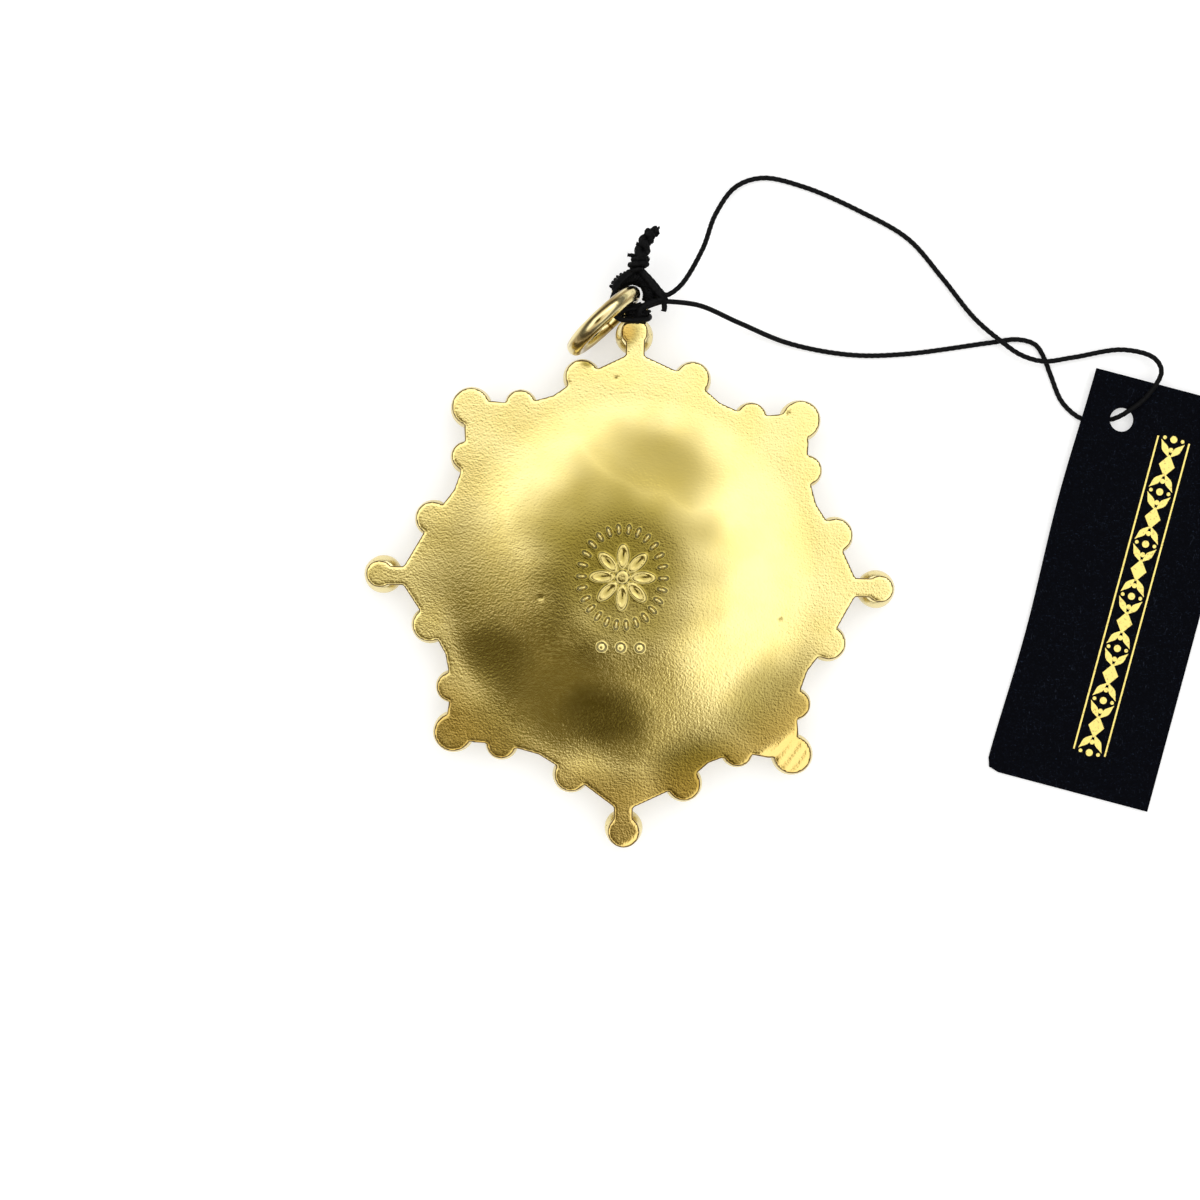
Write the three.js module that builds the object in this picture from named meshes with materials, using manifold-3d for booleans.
// A saint charm that lies face down with its back up: a star plate with soldered beads, a medal on its
// front, a jump ring in its eye, and a card tag on a thin knotted cord. Millimetres, +Z up.
import * as THREE from "three";
import { mergeVertices } from "three/addons/utils/BufferGeometryUtils.js";
import Module from "manifold-3d";

const wasm = await Module();
wasm.setup();

// Clearances
const fitGap = 0.3;
const beadFloor = 0.2;

// Heights of the metal stack, from the table up
const plateFront = 2.8;
const plateThick = 1.8;
const plateBack = plateFront + plateThick;
const fieldDepth = 1.1;
const medalField = plateFront - fieldDepth;

// The beads round the rim: radius, how far inside the finials' circle they sit, and the gap to the bead
// they flank
const charmRadius = 24.75;
const finialBead = { radius: 1.93, inset: 0 };
const flankBead = { radius: 1.9, inset: 3.85, gapToFinial: 3.28 };
const cornerBead = { radius: 2.15, inset: 1.25 };
const sideBead = { radius: 1.7, inset: 4.05, gapToCorner: 1.04 };
const beadSeatShare = 0.9;
const beadAround = 16;
const beadSteps = 5;

// The beads were set by eye: how far out (mm) and how far round (degrees, anticlockwise) each one sits
const setByEye = {
  finial_n: [0, 0.3],
  finial_w: [0, -0.3],
  finial_s: [0.05, 0.2],
  finial_e: [0.1, -0.2],
  flank_n_left: [0.2, -0.6],
  flank_n_right: [0.4, -0.8],
  flank_w_left: [-0.4, -1.4],
  flank_w_right: [-0.2, -1.3],
  flank_s_left: [0.1, 1.5],
  flank_s_right: [-0.7, -0.2],
  flank_e_left: [0.3, -0.9],
  flank_e_right: [0, -0.5],
  side_n_left: [0.1, -1.5],
  side_n_right: [-0.2, -0.6],
  side_w_left: [0, -2.5],
  side_w_right: [-0.1, -1.5],
  side_s_left: [-0.5, -0.6],
  side_s_right: [0, -2.2],
  side_e_left: [0.3, -1],
  side_e_right: [0, -0.4],
  corner_nw: [0.1, -1.3],
  corner_sw: [-0.3, -3],
  corner_se: [0.35, -0.2],
  corner_ne: [0.1, -0.2],
};

// The star plate
const lobeInset = 0.25;
const tab = { radius: 1.35, southRadius: 1.6, pastBead: 0.25, neckHalf: 0.95, footInset: 2.15 };
const valleyIn = 0.55;
const notchOut = 0.6;
const lobeAround = 20;

// The low dome on the plate's back: a level pad in the middle and a slope down to the flat rim
const dome = { radius: 18.8, pad: 5.8, rise: 0.8, rings: 10, around: 40 };
const domeFoot = 0.02;

// The raised device on the dome's pad: a rosette in an oval of dots, and three dots below it
const rosette = { x: -0.7, y: 0.4, petals: 8, long: 1.3, wide: 0.62, high: 0.28, boss: 0.75 };
const dotOval = { halfWide: 4.1, halfHigh: 4.8, dots: 16, radius: 0.34, high: 0.26 };
const lowerDots = { count: 3, spacing: 1.9, below: 7, radius: 0.48, high: 0.3 };

// The eye, on a short neck that butts on the north tab's flat end
const eye = { x: -0.4, pastFinial: 4, mid: 1.75, wire: 0.4, belowBack: 0.7, neckWide: 1.05, neckHigh: 0.8 };
const seatPastFinial = 1.45;
const eyeY = charmRadius + eye.pastFinial;
const eyeSeat = charmRadius + seatPastFinial;
const eyeZ = plateBack - eye.belowBack;

// The jump ring: its near side stands in the eye, and it passes the north finial with a small gap
const ring = { mid: 3.875, wire: 0.825, pastEye: 0.075, finialGap: 0.3, lean: 2.5, joint: 0.12, jointAt: -84.5 };

// The medal on the front
const bezel = { wide: 2.1, inChamfer: 0.35, outRound: 0.7, shoulder: 0.9, around: 48 };
const rope = { wire: 0.5, sink: 0.2, swell: 0.12, lays: 36, stepsPerLay: 2, rows: 5 };
const rays = { long: 4.8, thick: 0.8, count: 24, beadGap: 0.3, shorter: 2, valley: 1.4 };

// The figure on the medal: each part's place, half sizes, share of the relief's depth and turn, drawn
// for a bezel of this inner radius
const figureDrawnFor = 9.5;
const figureAround = 10;
const figureRows = 6;
const haloAround = 28;
const reliefFloor = 0.3;
const halo = { y: 3.5, radius: 3.5, proud: 0.3 };
const figure = {
  veil: { x: 0, y: 3.1, wide: 2.1, long: 2.7, share: 0.6, turn: 0 },
  face: { x: 0, y: 3.2, wide: 1.25, long: 1.65, share: 0.92, turn: 0 },
  chest: { x: 0, y: -1.2, wide: 2.3, long: 2.4, share: 0.6, turn: 0 },
  robe: { x: 0, y: -6, wide: 4.2, long: 5.2, share: 0.58, turn: 0 },
  shoulder: { x: 1.9, y: -0.9, wide: 1.6, long: 2, share: 0.55, turn: 0.5 },
  sleeve: { x: 1.75, y: -3.1, wide: 1.1, long: 2.2, share: 0.82, turn: 0.7 },
  hand: { x: 0.32, y: -1.5, wide: 0.42, long: 1.5, share: 1, turn: 0.1 },
  innerFold: { x: 0.8, y: -6.6, wide: 0.4, long: 2.6, share: 0.76, turn: 0.05 },
  outerFold: { x: 2.4, y: -6.4, wide: 0.42, long: 2.4, share: 0.68, turn: 0.2 },
};
const pairedParts = ["shoulder", "sleeve", "hand", "innerFold", "outerFold"];

// The tag: a card with one punched hole, near which it lies on its own cord
const tag = { wide: 16.8, long: 42.1, thick: 0.35, holeIn: 3.95, holeDown: 4.4, holeRadius: 1.2, turn: -13.4 };
const tagHole = { x: 49.4, y: 17.7 };
const tagOverCord = 0.22;

// The cord runs from its knot round the loop and back. Its points were chosen by hand: x, y and the
// height of the cord's underside.
const cordDiameter = 0.52;
const cordSides = 8;
const legRoute = [
  [0.45, 31.2, 4.15], [1.1, 30.55, 4.35], [1.8, 29.8, 4.35], [2.4, 29.1, 4.3],
];
const loopRoute = [
  [2.9, 28.75, 4.25], [4.3, 29.7, 3.95], [6.5, 33.6, 2.65], [7.8, 37.4, 1.25], [9.8, 40.3, 0.35],
  [12.5, 41.3, 0.02], [16.7, 40.5, 0.02], [22.4, 38.2, 0.02], [27.4, 35.5, 0.02], [30.9, 31.7, 0.1],
  [34.3, 27.6, 0.45], [36.9, 25.4, 0.8], [39, 24, 0.85], [41.3, 23.4, 0.8], [44.4, 23.9, 0.35],
  [49.4, 24.8, 0.5], [52.5, 24, 1], [53.2, 22.6, 1.35], [51.8, 20.1, 1.37], [49.9, 18.5, 1.3],
  [48.9, 17.9, 0.7], [48.1, 17.7, 0.04], [45.6, 17.7, 0.02], [43.5, 19.3, 0.02], [42.2, 22.1, 0.02],
  [41.5, 23.8, 0.02], [40.6, 25.1, 0.02], [38.8, 25.6, 0.02], [36, 25.2, 0.02], [27.2, 23.8, 0.02],
  [21.8, 23.6, 0.02], [15.5, 24.6, 0.25], [10.5, 26.4, 1.35], [6.3, 27.9, 3.15], [3, 28.1, 4.25],
];
const hitchRoute = [
  [2.7, 28.1, 4.25], [1.9, 27.85, 4.35], [1, 27.5, 4.45], [0.2, 27.35, 4.48], [-0.7, 27.25, 4.45],
  [-1.4, 26.95, 4.3], [-1.75, 26.6, 3.7], [-1.1, 26.85, 2.8], [-0.2, 27, 2.7], [0.7, 26.95, 2.76],
  [1.35, 26.6, 3.55], [1.05, 26.25, 4.5], [0.2, 26.15, 4.85], [-0.7, 26.1, 4.95], [-1.6, 26.15, 5.05],
  [-2.3, 26.75, 4.9], [-2.5, 27.7, 4.65], [-2.25, 28.8, 4.5], [-1.7, 29.75, 4.5], [-1, 30.5, 4.4],
  [-0.15, 31.2, 4.15],
];
const loopSteps = 80;
const legSteps = 4;
const hitchSteps = 44;
const turnApart = 1.5;

// The overhand knot and the two frayed ends twisted together above it
const knot = { x: 0.15, y: 31.95, z: 4.35, turn: 0.62, wire: 0.34, rise: 0.55, core: 0.65, tilt: 0.3 };
const tailRoute = [
  [0.15, 32.3, 4.04], [0.35, 33.2, 3.99], [0.75, 34.1, 3.84], [1.45, 35.2, 3.64],
];
const tail = { offset: 0.27, wire: 0.33, turns: 1.5, sides: 6, steps: 10 };

// Finishes
const satinGold = new THREE.MeshStandardMaterial({ color: 0xd6bd72, roughness: 0.42, metalness: 1 });
const brightGold = new THREE.MeshStandardMaterial({ color: 0xe2c77a, roughness: 0.15, metalness: 1 });
const blackCord = new THREE.MeshStandardMaterial({ color: 0x0c0c0f, roughness: 0.8, metalness: 0 });
const blackCard = new THREE.MeshStandardMaterial({ color: 0x0d0e16, roughness: 0.75, metalness: 0 });

const charm = new THREE.Group();
const cordParts = [];
const radians = THREE.MathUtils.degToRad;

function addMesh(name, geometry, material) {
  const mesh = new THREE.Mesh(geometry, material);
  mesh.name = name;
  charm.add(mesh);
  return mesh;
}

// A closed geometry as a solid that can be joined and cut
function solid(geometry) {
  const bare = geometry.clone();
  bare.deleteAttribute("normal");
  bare.deleteAttribute("uv");
  const merged = mergeVertices(bare);
  return new wasm.Manifold(new wasm.Mesh({
    numProp: 3,
    vertProperties: new Float32Array(merged.attributes.position.array),
    triVerts: new Uint32Array(merged.index.array),
  }));
}

function geometryOf(body) {
  const made = body.getMesh();
  const geometry = new THREE.BufferGeometry();
  geometry.setAttribute("position", new THREE.BufferAttribute(made.vertProperties, 3));
  geometry.setIndex(new THREE.BufferAttribute(made.triVerts, 1));
  geometry.computeVertexNormals();
  return geometry;
}

function joined(geometries) {
  return geometries.map(solid).reduce((whole, next) => whole.add(next));
}

function indexedGeometry(position, index) {
  const geometry = new THREE.BufferGeometry();
  geometry.setAttribute("position", new THREE.Float32BufferAttribute(position, 3));
  geometry.setIndex(index);
  return geometry;
}

function disc(x, y, radius, low, high, around) {
  return new THREE.CylinderGeometry(radius, radius, high - low, around)
    .rotateX(Math.PI / 2)
    .translate(x, y, (low + high) / 2);
}

function box(lowX, highX, lowY, highY, lowZ, highZ) {
  return new THREE.BoxGeometry(highX - lowX, highY - lowY, highZ - lowZ)
    .translate((lowX + highX) / 2, (lowY + highY) / 2, (lowZ + highZ) / 2);
}

function ellipsoid(x, y, z, halfX, halfY, halfZ, turn, around, rows) {
  return new THREE.SphereGeometry(1, around, rows)
    .rotateX(Math.PI / 2)
    .scale(halfX, halfY, halfZ)
    .rotateZ(turn)
    .translate(x, y, z);
}

function tube(curve, radius, sides, steps) {
  const section = new THREE.Shape();
  for (let i = 0; i < sides; i++) {
    const a = (2 * Math.PI * i) / sides;
    const draw = i ? "lineTo" : "moveTo";
    section[draw](radius * Math.cos(a), radius * Math.sin(a));
  }
  section.closePath();
  return new THREE.ExtrudeGeometry(section, { steps, bevelEnabled: false, extrudePath: curve });
}

function closedShape(points) {
  const shape = new THREE.Shape();
  shape.moveTo(points[0].x, points[0].y);
  for (const point of points.slice(1)) shape.lineTo(point.x, point.y);
  shape.closePath();
  return shape;
}

function polar(reach, angle) {
  return new THREE.Vector2(reach * Math.cos(angle), reach * Math.sin(angle));
}

// How far round from its neighbour a bead sits when the two are a set gap apart
function turnFrom(bead, neighbour, gap) {
  const apart = bead.radius + neighbour.radius + gap;
  const near = charmRadius - bead.inset;
  const far = charmRadius - neighbour.inset;
  const cosine = (near ** 2 + far ** 2 - apart ** 2) / (2 * near * far);
  return THREE.MathUtils.radToDeg(Math.acos(cosine));
}

// The beads: four finials on the main axes, four corners between them, and a pair beside each one
const mainAxes = { n: 90, w: 180, s: 270, e: 360 };
const cornerAfter = { n: "nw", w: "sw", s: "se", e: "ne" };
const cornerBefore = { n: "ne", w: "nw", s: "sw", e: "se" };
const halfQuarter = (mainAxes.w - mainAxes.n) / 2;

function rimBeads() {
  const flankTurn = turnFrom(flankBead, finialBead, flankBead.gapToFinial);
  const sideTurn = halfQuarter - turnFrom(sideBead, cornerBead, sideBead.gapToCorner);
  const found = {};
  const place = (name, kind, bearing) => {
    const [out, round] = setByEye[name];
    const spot = polar(charmRadius - kind.inset + out, radians(bearing + round));
    found[name] = { radius: kind.radius, x: spot.x, y: spot.y };
  };
  for (const [axis, bearing] of Object.entries(mainAxes)) {
    place(`finial_${axis}`, finialBead, bearing);
    place(`flank_${axis}_left`, flankBead, bearing + flankTurn);
    place(`flank_${axis}_right`, flankBead, bearing - flankTurn);
    place(`side_${axis}_left`, sideBead, bearing + sideTurn);
    place(`side_${axis}_right`, sideBead, bearing - sideTurn);
    place(`corner_${cornerAfter[axis]}`, cornerBead, bearing + halfQuarter);
  }
  return found;
}

const beads = rimBeads();

// The medal fills what the beads leave: rays, a rope border and a bezel, each one inside the last
const innermost = Object.values(beads).map((bead) => Math.hypot(bead.x, bead.y) - bead.radius);
const raysOuter = Math.min(...innermost) - rays.beadGap;
const raysInner = raysOuter - rays.long;
const ropeMid = raysInner - fitGap - rope.wire;
const bezelOuter = ropeMid - rope.wire - fitGap;
const bezelInner = bezelOuter - bezel.wide;

// A ball cut flat where it meets the plate's front
function beadGeometry(radius, centre) {
  const last = Math.asin(Math.min(1, (plateFront - centre) / radius));
  const profile = [new THREE.Vector2(0, centre - radius)];
  for (let i = 1; i < beadSteps; i++) {
    const angle = -Math.PI / 2 + (last + Math.PI / 2) * (i / beadSteps);
    profile.push(new THREE.Vector2(radius * Math.cos(angle), centre + radius * Math.sin(angle)));
  }
  profile.push(new THREE.Vector2(radius * Math.cos(last), plateFront));
  profile.push(new THREE.Vector2(0, plateFront));
  return new THREE.LatheGeometry(profile, beadAround).rotateX(Math.PI / 2);
}

function addBeads() {
  for (const [name, bead] of Object.entries(beads)) {
    const centre = Math.max(beadFloor + bead.radius, plateFront - beadSeatShare * bead.radius);
    addMesh(name, beadGeometry(bead.radius, centre), brightGold).position.set(bead.x, bead.y, 0);
  }
}

// The star plate: a star through the bead centres, a lobe over each bead and a tab on each main axis
function between(a, b, out) {
  const middle = new THREE.Vector2((a.x + b.x) / 2, (a.y + b.y) / 2);
  return middle.setLength(middle.length() + out);
}

function starOutline() {
  const points = [];
  const foot = charmRadius - tab.footInset;
  for (const [axis, bearing] of Object.entries(mainAxes)) {
    const rightSide = beads[`side_${axis}_right`];
    const rightFlank = beads[`flank_${axis}_right`];
    const leftFlank = beads[`flank_${axis}_left`];
    const leftSide = beads[`side_${axis}_left`];
    const before = beads[`corner_${cornerBefore[axis]}`];
    const after = beads[`corner_${cornerAfter[axis]}`];
    const neck = (half) => new THREE.Vector2(foot, half).rotateAround(new THREE.Vector2(), radians(bearing));
    points.push(before, between(before, rightSide, notchOut), rightSide);
    points.push(between(rightSide, rightFlank, -valleyIn), rightFlank, neck(-tab.neckHalf));
    points.push(neck(tab.neckHalf), leftFlank, between(leftFlank, leftSide, -valleyIn), leftSide);
    points.push(between(leftSide, after, notchOut));
  }
  return closedShape(points);
}

function starSlab() {
  const pieces = [new THREE.ExtrudeGeometry(starOutline(), { depth: plateThick, bevelEnabled: false })
    .translate(0, 0, plateFront)];
  for (const [name, bead] of Object.entries(beads)) {
    if (name.startsWith("finial")) continue;
    pieces.push(disc(bead.x, bead.y, bead.radius - lobeInset, plateFront, plateBack, lobeAround));
  }
  for (const [axis, bearing] of Object.entries(mainAxes)) {
    const bead = beads[`finial_${axis}`];
    const end = polar(Math.hypot(bead.x, bead.y) + tab.pastBead, Math.atan2(bead.y, bead.x));
    const radius = axis === "s" ? tab.southRadius : tab.radius;
    const foot = charmRadius - tab.footInset - tab.neckHalf;
    pieces.push(disc(end.x, end.y, radius, plateFront, plateBack, lobeAround));
    pieces.push(box(foot, charmRadius, -tab.neckHalf, tab.neckHalf, plateFront, plateBack)
      .rotateZ(radians(bearing)));
  }
  return joined(pieces);
}

function backHeight(r) {
  return plateBack + dome.rise * (1 - THREE.MathUtils.smoothstep(r, dome.pad, dome.radius));
}

// The dome as a solid to join on: it reaches down into the plate, and its foot is just below the rim
function domeGeometry() {
  const { rings, around } = dome;
  const inside = plateBack - plateThick / 2;
  const position = [0, 0, backHeight(0)];
  const index = [];
  for (let i = 1; i <= rings + 1; i++) {
    const r = (dome.radius * Math.min(i, rings)) / rings;
    const z = i > rings ? inside : backHeight(r) - (i === rings ? domeFoot : 0);
    for (let j = 0; j < around; j++) {
      const spot = polar(r, (2 * Math.PI * j) / around);
      position.push(spot.x, spot.y, z);
    }
  }
  const lowCentre = position.length / 3;
  position.push(0, 0, inside);
  const at = (i, j) => 1 + (i - 1) * around + (j % around);
  for (let j = 0; j < around; j++) {
    index.push(0, at(1, j), at(1, j + 1));
    for (let i = 1; i <= rings; i++) {
      index.push(at(i, j), at(i + 1, j), at(i + 1, j + 1), at(i, j), at(i + 1, j + 1), at(i, j + 1));
    }
    index.push(lowCentre, at(rings + 1, j + 1), at(rings + 1, j));
  }
  return indexedGeometry(position, index);
}

function raisedDevice() {
  const pieces = [];
  const raise = (x, y, halfX, halfY, high, turn, around, rows) => {
    pieces.push(ellipsoid(x, y, backHeight(Math.hypot(x, y)), halfX, halfY, high, turn, around, rows));
  };
  raise(rosette.x, rosette.y, rosette.boss, rosette.boss, rosette.high, 0, 10, 5);
  for (let i = 0; i < rosette.petals; i++) {
    const a = (2 * Math.PI * i) / rosette.petals;
    const spot = polar(rosette.boss + rosette.long, a);
    raise(rosette.x + spot.x, rosette.y + spot.y, rosette.long, rosette.wide, rosette.high, a, 8, 5);
  }
  for (let i = 0; i < dotOval.dots; i++) {
    const a = (2 * Math.PI * i) / dotOval.dots;
    const x = rosette.x + dotOval.halfWide * Math.cos(a);
    const y = rosette.y + dotOval.halfHigh * Math.sin(a);
    raise(x, y, dotOval.radius, dotOval.radius, dotOval.high, 0, 6, 4);
  }
  for (let i = 0; i < lowerDots.count; i++) {
    const x = rosette.x + (i - (lowerDots.count - 1) / 2) * lowerDots.spacing;
    raise(x, rosette.y - lowerDots.below, lowerDots.radius, lowerDots.radius, lowerDots.high, 0, 8, 4);
  }
  return joined(pieces);
}

function addPlate() {
  const past = tab.radius + tab.pastBead;
  const seat = box(-2 * tab.radius, 2 * tab.radius, eyeSeat, eyeSeat + past, plateFront - past, plateBack + past);
  const plate = starSlab().add(solid(domeGeometry())).add(raisedDevice()).subtract(solid(seat));
  addMesh("back_plate", geometryOf(plate), satinGold);
}

function addEye() {
  const loop = new THREE.TorusGeometry(eye.mid, eye.wire, 8, 24).translate(eye.x, eyeY, eyeZ);
  const neckX = eye.x / 2;
  const neck = box(neckX - eye.neckWide / 2, neckX + eye.neckWide / 2, eyeSeat, eyeY - eye.mid,
    eyeZ - eye.neckHigh / 2, eyeZ + eye.neckHigh / 2);
  addMesh("hanging_eye", geometryOf(joined([loop, neck])), brightGold);
}

// The jump ring: a round wire bent into a circle whose two ends almost meet
class WireCircle extends THREE.Curve {
  constructor(radius, from, to) {
    super();
    this.radius = radius;
    this.from = from;
    this.to = to;
  }

  getPoint(t, target = new THREE.Vector3()) {
    const a = this.from + (this.to - this.from) * t;
    return target.set(this.radius * Math.cos(a), 0, this.radius * Math.sin(a));
  }
}

function addRing() {
  const half = ring.joint / ring.mid / 2;
  const cut = radians(ring.jointAt);
  const circle = new WireCircle(ring.mid, cut + half, cut + 2 * Math.PI - half);
  const mesh = addMesh("jump_ring", tube(circle, ring.wire, 10, 44), brightGold);
  const finial = beads.finial_n;
  const toFinial = Math.atan2(finial.y - eyeY, finial.x - eye.x);
  const pass = finial.radius + ring.wire + ring.finialGap;
  const bearing = toFinial - Math.asin(pass / Math.hypot(finial.x - eye.x, finial.y - eyeY));
  const centre = polar(ring.mid + ring.pastEye, bearing);
  const lean = radians(ring.lean);
  mesh.rotation.set(-lean, 0, bearing + Math.PI, "ZYX");
  mesh.position.set(eye.x + centre.x, eyeY + centre.y, ring.wire + ring.mid * Math.cos(lean));
}

// The medal on the front: a field, its bezel, a rope border and a burst of rays
function addMedal() {
  const { inChamfer, outRound, shoulder, around } = bezel;
  const profile = [
    [bezelInner, plateFront], [bezelInner, inChamfer], [bezelInner + inChamfer, 0], [bezelOuter - outRound, 0],
    [bezelOuter, shoulder], [bezelOuter, plateFront], [bezelInner, plateFront],
  ].map(([r, z]) => new THREE.Vector2(r, z));
  addMesh("medal_disc", disc(0, 0, bezelInner - fitGap, medalField, plateFront, around), satinGold);
  addMesh("medal_bezel", new THREE.LatheGeometry(profile, around).rotateX(Math.PI / 2), brightGold);
}

// A round wire laid in a circle, swollen at each lay of its twist and flat where it meets the plate
function addRope() {
  const around = rope.lays * rope.stepsPerLay;
  const centre = plateFront - rope.wire + rope.sink;
  const flatAngle = Math.asin((plateFront - centre) / rope.wire);
  const position = [];
  const index = [];
  for (let i = 0; i < around; i++) {
    const swell = rope.wire * (1 + (i % rope.stepsPerLay ? rope.swell : -rope.swell));
    for (let j = 0; j <= rope.rows; j++) {
      const flat = j === 0 || j === rope.rows;
      const b = Math.PI - flatAngle + ((Math.PI + 2 * flatAngle) * j) / rope.rows;
      const r = ropeMid + (flat ? rope.wire : swell) * Math.cos(b);
      const spot = polar(r, (2 * Math.PI * i) / around);
      position.push(spot.x, spot.y, flat ? plateFront : centre + swell * Math.sin(b));
    }
  }
  const at = (i, j) => (i % around) * (rope.rows + 1) + j;
  for (let i = 0; i < around; i++) {
    for (let j = 0; j < rope.rows; j++) {
      index.push(at(i, j), at(i + 1, j + 1), at(i, j + 1), at(i, j), at(i + 1, j), at(i + 1, j + 1));
    }
    index.push(at(i, 0), at(i, rope.rows), at(i + 1, rope.rows), at(i, 0), at(i + 1, rope.rows), at(i + 1, 0));
  }
  addMesh("rope_ring", indexedGeometry(position, index), brightGold);
}

function addRays() {
  const step = Math.PI / rays.count;
  const points = [];
  for (let i = 0; i < rays.count; i++) {
    points.push(polar(i % 2 ? raysOuter - rays.shorter : raysOuter, 2 * i * step));
    points.push(polar(raysInner + rays.valley, (2 * i + 1) * step));
  }
  const star = closedShape(points);
  const hole = new THREE.Path();
  hole.absarc(0, 0, raysInner, 0, 2 * Math.PI, true);
  star.holes.push(hole);
  const burst = new THREE.ExtrudeGeometry(star, { depth: rays.thick, bevelEnabled: false, curveSegments: 24 });
  addMesh("ray_burst", burst.translate(0, 0, plateFront - rays.thick), satinGold);
}

// The figure: a veiled saint in prayer before a halo, cast in one and flat where it lies on the field
function addRelief() {
  const deep = medalField - reliefFloor;
  const fit = bezelInner / figureDrawnFor;
  const pieces = [
    disc(0, fit * halo.y, fit * halo.radius, medalField - halo.proud, medalField + halo.proud, haloAround),
  ];
  for (const [name, part] of Object.entries(figure)) {
    const signs = pairedParts.includes(name) ? [1, -1] : [1];
    for (const sign of signs) {
      pieces.push(ellipsoid(sign * fit * part.x, fit * part.y, medalField, fit * part.wide, fit * part.long,
        deep * part.share, sign * part.turn, figureAround, figureRows));
    }
  }
  const room = solid(disc(0, 0, bezelInner - 2 * fitGap, -medalField, medalField, bezel.around));
  addMesh("saint_relief", geometryOf(joined(pieces).intersect(room)), satinGold);
}

function addTag() {
  const left = -tag.holeIn;
  const top = tag.holeDown;
  const card = closedShape([
    new THREE.Vector2(left, top),
    new THREE.Vector2(left, top - tag.long),
    new THREE.Vector2(left + tag.wide, top - tag.long),
    new THREE.Vector2(left + tag.wide, top),
  ]);
  const hole = new THREE.Path();
  hole.absarc(0, 0, tag.holeRadius, 0, 2 * Math.PI, true);
  card.holes.push(hole);
  const geometry = new THREE.ExtrudeGeometry(card, { depth: tag.thick, bevelEnabled: false, curveSegments: 10 });
  const mesh = addMesh("hang_tag", geometry, blackCard);
  const lift = cordDiameter + tagOverCord;
  mesh.rotation.set(Math.asin(lift / (tag.long - tag.holeDown)), 0, radians(tag.turn), "ZYX");
  mesh.position.set(tagHole.x, tagHole.y, lift);
  cordParts.push(mesh);
}

function cordCurve(route) {
  const points = route.map(([x, y, under]) => new THREE.Vector3(x, y, under + cordDiameter / 2));
  return new THREE.CatmullRomCurve3(points, false, "centripetal");
}

// The least gap between two stretches of one cord that lie some way apart along it
function leastGap(curve, steps) {
  const points = curve.getSpacedPoints(steps);
  const skip = Math.ceil((turnApart * steps) / curve.getLength());
  let least = Infinity;
  for (let i = 0; i < points.length; i++) {
    for (let j = i + skip; j < points.length; j++) {
      least = Math.min(least, points[i].distanceTo(points[j]));
    }
  }
  return least - cordDiameter;
}

function addCord() {
  const stretches = [
    ["tag_cord", loopRoute, loopSteps],
    ["cord_leg", legRoute, legSteps],
    ["cord_hitch", hitchRoute, hitchSteps],
  ];
  for (const [name, route, steps] of stretches) {
    const curve = cordCurve(route);
    cordParts.push(addMesh(name, tube(curve, cordDiameter / 2, cordSides, steps), blackCord));
    console.log(`${name}: ${curve.getLength().toFixed(1)} mm long`);
  }
  console.log(`cord_hitch: least gap to itself ${leastGap(cordCurve(hitchRoute), hitchSteps).toFixed(2)} mm`);
}

// One of two strands twisted round each other along a short route
class Strand extends THREE.Curve {
  constructor(core, phase) {
    super();
    this.core = core;
    this.phase = phase;
  }

  getPoint(t, target = new THREE.Vector3()) {
    const a = this.phase + 2 * Math.PI * tail.turns * t;
    const p = this.core.getPoint(t);
    return target.set(p.x + tail.offset * Math.cos(a), p.y, p.z + tail.offset * Math.sin(a));
  }
}

function addKnot() {
  const turnOf = (rise, tilt) => new THREE.TorusGeometry(knot.turn, knot.wire, 6, 12)
    .rotateX(Math.PI / 2)
    .rotateZ(tilt)
    .translate(knot.x, knot.y + rise, knot.z);
  const core = cordCurve(tailRoute);
  const middle = ellipsoid(knot.x, knot.y + knot.rise / 2, knot.z, knot.core, knot.core, knot.core, 0, 8, 6);
  const strands = [0, Math.PI].map((phase) => tube(new Strand(core, phase), tail.wire, tail.sides, tail.steps));
  const whole = joined([turnOf(0, knot.tilt), turnOf(knot.rise, -knot.tilt), middle, ...strands]);
  cordParts.push(addMesh("cord_knot", geometryOf(whole), blackCord));
}

addPlate();
addBeads();
addEye();
addRing();
addMedal();
addRope();
addRays();
addRelief();
addTag();
addCord();
addKnot();

// The origin is on the table under the middle of the metal's box
const metal = new THREE.Box3();
charm.updateMatrixWorld(true);
for (const mesh of charm.children) {
  if (!cordParts.includes(mesh)) metal.expandByObject(mesh, true);
}
const middle = metal.getCenter(new THREE.Vector3());
charm.position.set(-middle.x, -middle.y, 0);

export default charm;
